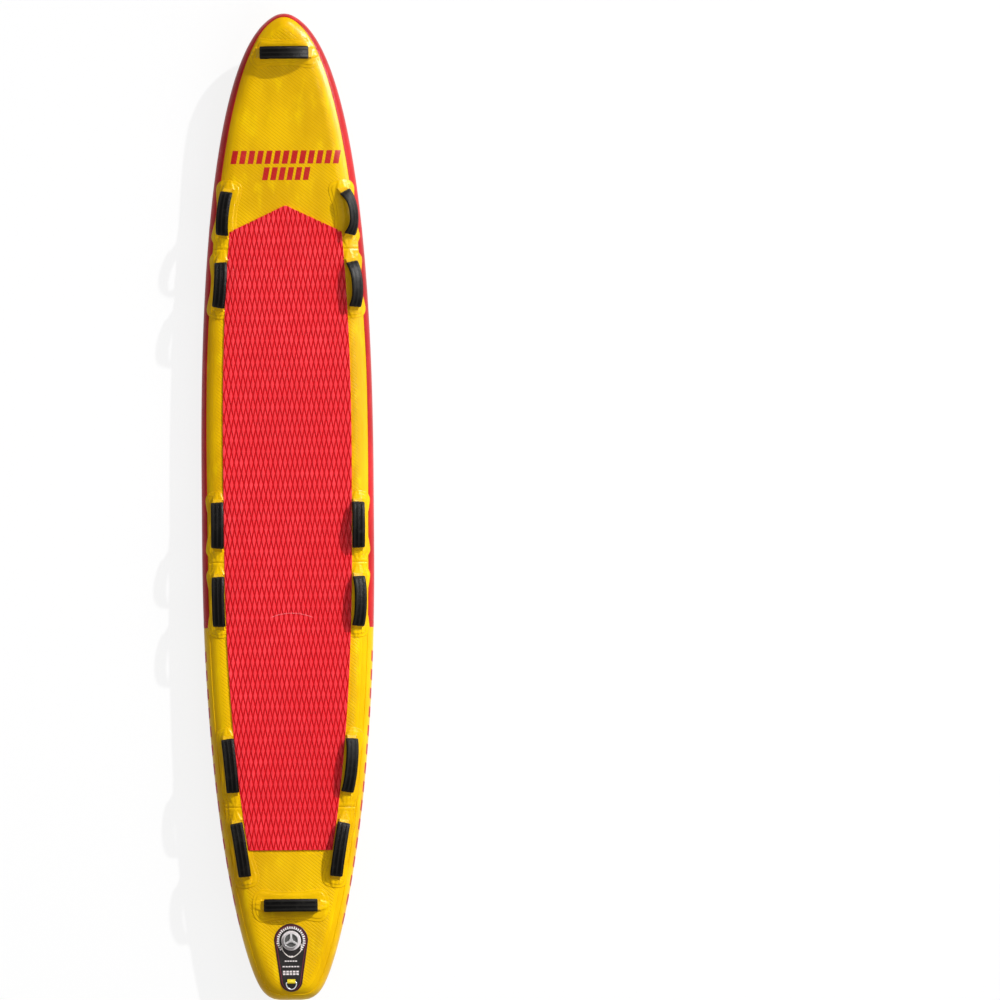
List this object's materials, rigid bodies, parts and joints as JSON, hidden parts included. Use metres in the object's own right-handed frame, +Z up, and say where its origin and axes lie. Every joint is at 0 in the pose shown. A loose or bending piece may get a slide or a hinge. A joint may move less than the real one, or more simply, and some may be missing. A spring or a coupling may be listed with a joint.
{
  "type": "inflatable rescue board",
  "caption": "Long inflatable rescue board with a foam deck pad, padded webbing handles along both rails, an air valve, D-rings and a fin box under the tail.",
  "frame": {"origin": "centre of the board's outline in plan, at the height of the flat of its belly", "axes": "+X starboard, +Y towards the nose, +Z up out of the deck"},
  "size_m": [0.559, 3.2, 0.232],
  "materials": {
    "core": "matte",
    "yellow_skin": "satin",
    "red_band": "satin",
    "liner": "matte",
    "pad_foam": "matte",
    "label": "satin",
    "valve_plastic": "satin",
    "tether": "satin",
    "seal_rubber": "matte",
    "steel": "polished",
    "yellow_webbing": "matte",
    "fin_plastic": "satin",
    "grip_cover": "matte",
    "webbing": "matte"
  },
  "bodies": {
    "board": {"drop_stitch_core": "core", "deck_skin": "yellow_skin", "bottom_skin": "yellow_skin", "rail_liner": "liner", "bow_rail_band": "red_band", "stern_rail_band": "yellow_skin", "deck_pad": "pad_foam", "nose_handle_patch": "yellow_skin", "tail_handle_patch": "yellow_skin", "bow_port_handle_patch": "yellow_skin", "middle_port_handle_patch": "yellow_skin", "stern_port_handle_patch": "yellow_skin", "bow_starboard_handle_patch": "yellow_skin", "middle_starboard_handle_patch": "yellow_skin", "stern_starboard_handle_patch": "yellow_skin", "valve_label_patch": "label", "valve_base": "valve_plastic", "valve_back_nut": "valve_plastic", "valve_spring": "steel", "valve_cap_tether": "tether", "leash_ring_loop": "yellow_webbing", "tow_ring_patch": "yellow_skin", "tow_ring_loop": "yellow_webbing", "fin_box_patch": "yellow_skin", "fin_box_collar": "yellow_skin", "fin_box": "fin_plastic"},
    "handle_nose": {"grip_nose": "grip_cover", "strap_nose": "webbing"},
    "handle_port_1": {"grip_port_1": "grip_cover", "strap_port_1": "webbing"},
    "handle_port_2": {"grip_port_2": "grip_cover", "strap_port_2": "webbing"},
    "handle_port_3": {"grip_port_3": "grip_cover", "strap_port_3": "webbing"},
    "handle_port_4": {"grip_port_4": "grip_cover", "strap_port_4": "webbing"},
    "handle_port_5": {"grip_port_5": "grip_cover", "strap_port_5": "webbing"},
    "handle_port_6": {"grip_port_6": "grip_cover", "strap_port_6": "webbing"},
    "handle_starboard_1": {"grip_starboard_1": "grip_cover", "strap_starboard_1": "webbing"},
    "handle_starboard_2": {"grip_starboard_2": "grip_cover", "strap_starboard_2": "webbing"},
    "handle_starboard_3": {"grip_starboard_3": "grip_cover", "strap_starboard_3": "webbing"},
    "handle_starboard_4": {"grip_starboard_4": "grip_cover", "strap_starboard_4": "webbing"},
    "handle_starboard_5": {"grip_starboard_5": "grip_cover", "strap_starboard_5": "webbing"},
    "handle_starboard_6": {"grip_starboard_6": "grip_cover", "strap_starboard_6": "webbing"},
    "handle_tail": {"grip_tail": "grip_cover", "strap_tail": "webbing"},
    "cap_carrier": {"valve_cap_seal": "seal_rubber"},
    "cap": {"valve_cap": "valve_plastic"},
    "plunger": {"valve_plunger": "seal_rubber"},
    "leash_ring": {"leash_d_ring": "steel"},
    "tow_ring": {"tow_d_ring": "steel"}
  },
  "joints": [
    {"name": "lean_nose", "type": "hinge", "parent": "board", "child": "handle_nose", "pos_m": [0, 1.47218, 0.19063], "axis": [1, 0, 0], "range_deg": [-26, 28], "stiffness_Nm_per_rad": 0.4, "deforming": ["strap_nose"]},
    {"name": "lean_port_1", "type": "hinge", "parent": "board", "child": "handle_port_1", "pos_m": [-0.19307, 0.95287, 0.1353], "axis": [-0.1101, -0.9928, -0.0468], "range_deg": [-42, 35], "stiffness_Nm_per_rad": 0.4, "deforming": ["strap_port_1"]},
    {"name": "lean_port_2", "type": "hinge", "parent": "board", "child": "handle_port_2", "pos_m": [-0.2129, 0.72065, 0.12984], "axis": [-0.0635, -0.998, -0.0037], "range_deg": [-32, 35], "stiffness_Nm_per_rad": 0.4, "deforming": ["strap_port_2"]},
    {"name": "lean_port_3", "type": "hinge", "parent": "board", "child": "handle_port_3", "pos_m": [-0.22684, -0.05918, 0.13126], "axis": [0.0002, -1, 0.0095], "range_deg": [-32, 35], "stiffness_Nm_per_rad": 0.4, "deforming": ["strap_port_3"]},
    {"name": "lean_port_4", "type": "hinge", "parent": "board", "child": "handle_port_4", "pos_m": [-0.2236, -0.30685, 0.13517], "axis": [0.0156, -0.9997, 0.0195], "range_deg": [-32, 30], "stiffness_Nm_per_rad": 0.4, "deforming": ["strap_port_4"]},
    {"name": "lean_port_5", "type": "hinge", "parent": "board", "child": "handle_port_5", "pos_m": [-0.19162, -0.83933, 0.14848], "axis": [0.0967, -0.9949, 0.0282], "range_deg": [-27, 30], "stiffness_Nm_per_rad": 0.4, "deforming": ["strap_port_5"]},
    {"name": "lean_port_6", "type": "hinge", "parent": "board", "child": "handle_port_6", "pos_m": [-0.15973, -1.11207, 0.15623], "axis": [0.1534, -0.9877, 0.0308], "range_deg": [-30, 28], "stiffness_Nm_per_rad": 0.4, "deforming": ["strap_port_6"]},
    {"name": "lean_starboard_1", "type": "hinge", "parent": "board", "child": "handle_starboard_1", "pos_m": [0.19307, 0.95287, 0.1353], "axis": [-0.1101, 0.9928, 0.0468], "range_deg": [-56, 25], "stiffness_Nm_per_rad": 0.4, "deforming": ["strap_starboard_1"]},
    {"name": "lean_starboard_2", "type": "hinge", "parent": "board", "child": "handle_starboard_2", "pos_m": [0.2129, 0.72065, 0.12984], "axis": [-0.0635, 0.998, 0.0037], "range_deg": [-48, 30], "stiffness_Nm_per_rad": 0.4, "deforming": ["strap_starboard_2"]},
    {"name": "lean_starboard_3", "type": "hinge", "parent": "board", "child": "handle_starboard_3", "pos_m": [0.22684, -0.05918, 0.13126], "axis": [0.0002, 1, -0.0095], "range_deg": [-33, 35], "stiffness_Nm_per_rad": 0.4, "deforming": ["strap_starboard_3"]},
    {"name": "lean_starboard_4", "type": "hinge", "parent": "board", "child": "handle_starboard_4", "pos_m": [0.2236, -0.30685, 0.13517], "axis": [0.0156, 0.9997, -0.0195], "range_deg": [-36, 30], "stiffness_Nm_per_rad": 0.4, "deforming": ["strap_starboard_4"]},
    {"name": "lean_starboard_5", "type": "hinge", "parent": "board", "child": "handle_starboard_5", "pos_m": [0.19162, -0.83933, 0.14848], "axis": [0.0967, 0.9949, -0.0282], "range_deg": [-33, 30], "stiffness_Nm_per_rad": 0.4, "deforming": ["strap_starboard_5"]},
    {"name": "lean_starboard_6", "type": "hinge", "parent": "board", "child": "handle_starboard_6", "pos_m": [0.15973, -1.11207, 0.15623], "axis": [0.1534, 0.9877, -0.0308], "range_deg": [-30, 28], "stiffness_Nm_per_rad": 0.4, "deforming": ["strap_starboard_6"]},
    {"name": "lean_tail", "type": "hinge", "parent": "board", "child": "handle_tail", "pos_m": [0, -1.29285, 0.1631], "axis": [1, 0, 0], "range_deg": [-25, 25], "stiffness_Nm_per_rad": 0.4, "deforming": ["strap_tail"]},
    {"name": "valve_cap_lift", "type": "slide", "parent": "board", "child": "cap_carrier", "axis": [0, 0.0339, 0.9994], "range_m": [0, 0.03], "deforming": ["valve_cap_tether"]},
    {"name": "valve_cap_turn", "type": "hinge", "parent": "cap_carrier", "child": "cap", "pos_m": [0, -1.407, 0.16231], "axis": [0, 0.0339, 0.9994], "range_deg": [0, 90]},
    {"name": "valve_plunger_push", "type": "slide", "parent": "board", "child": "plunger", "axis": [0, 0.0339, 0.9994], "range_m": [-0.007, 0], "stiffness_N_per_m": 400, "springref_m": 0.004, "deforming": ["valve_spring"]},
    {"name": "leash_ring_swing", "type": "hinge", "parent": "board", "child": "leash_ring", "pos_m": [0, -1.54245, 0.17245], "axis": [-1, 0, 0], "range_deg": [0, 165]},
    {"name": "tow_ring_swing", "type": "hinge", "parent": "board", "child": "tow_ring", "pos_m": [0, 1.50042, 0.06539], "axis": [-1, 0, 0], "range_deg": [0, 165]}
  ]
}
